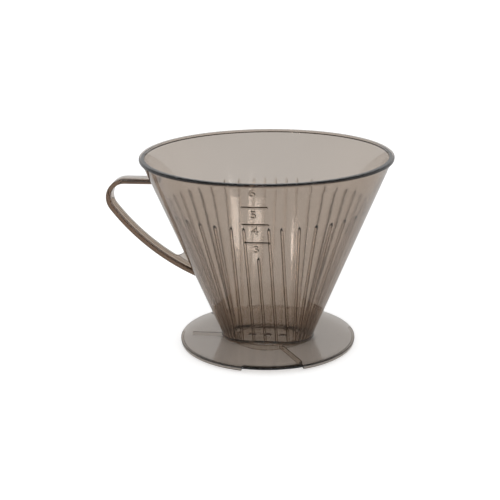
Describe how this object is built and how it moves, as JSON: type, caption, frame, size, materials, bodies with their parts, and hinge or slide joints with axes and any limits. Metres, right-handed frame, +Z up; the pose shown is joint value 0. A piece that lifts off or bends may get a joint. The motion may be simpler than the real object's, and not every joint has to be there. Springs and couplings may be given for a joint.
{
  "type": "pour over coffee dripper",
  "caption": "Clear smoke-brown pour-over dripper: a wedge-to-round filter cone on a round flange, ribs inside, loop handle, cup marks on the front.",
  "frame": {"origin": "on the cone's axis, in the plane of the locating collar's foot, the lowest plane of the part", "axes": "+Z up along the cone's axis; the foot's slot runs along X and the handle points to -X; the cup marks face -Y"},
  "size_m": [0.1557, 0.136, 0.107],
  "materials": {
    "smoke_clear_plastic": "clear smoke-brown moulded plastic, polished"
  },
  "bodies": {
    "root": {"cone_wall": "smoke_clear_plastic", "rim_bead": "smoke_clear_plastic", "front_ribs": "smoke_clear_plastic", "short_front_rib": "smoke_clear_plastic", "back_ribs": "smoke_clear_plastic", "right_fan_ribs": "smoke_clear_plastic", "left_fan_ribs": "smoke_clear_plastic", "cup_marks": "smoke_clear_plastic", "drain_floor": "smoke_clear_plastic", "base_flange": "smoke_clear_plastic", "flange_lip": "smoke_clear_plastic", "locating_collar": "smoke_clear_plastic", "spacer_ribs": "smoke_clear_plastic", "handle_strap": "smoke_clear_plastic", "handle_web": "smoke_clear_plastic"}
  },
  "joints": []
}
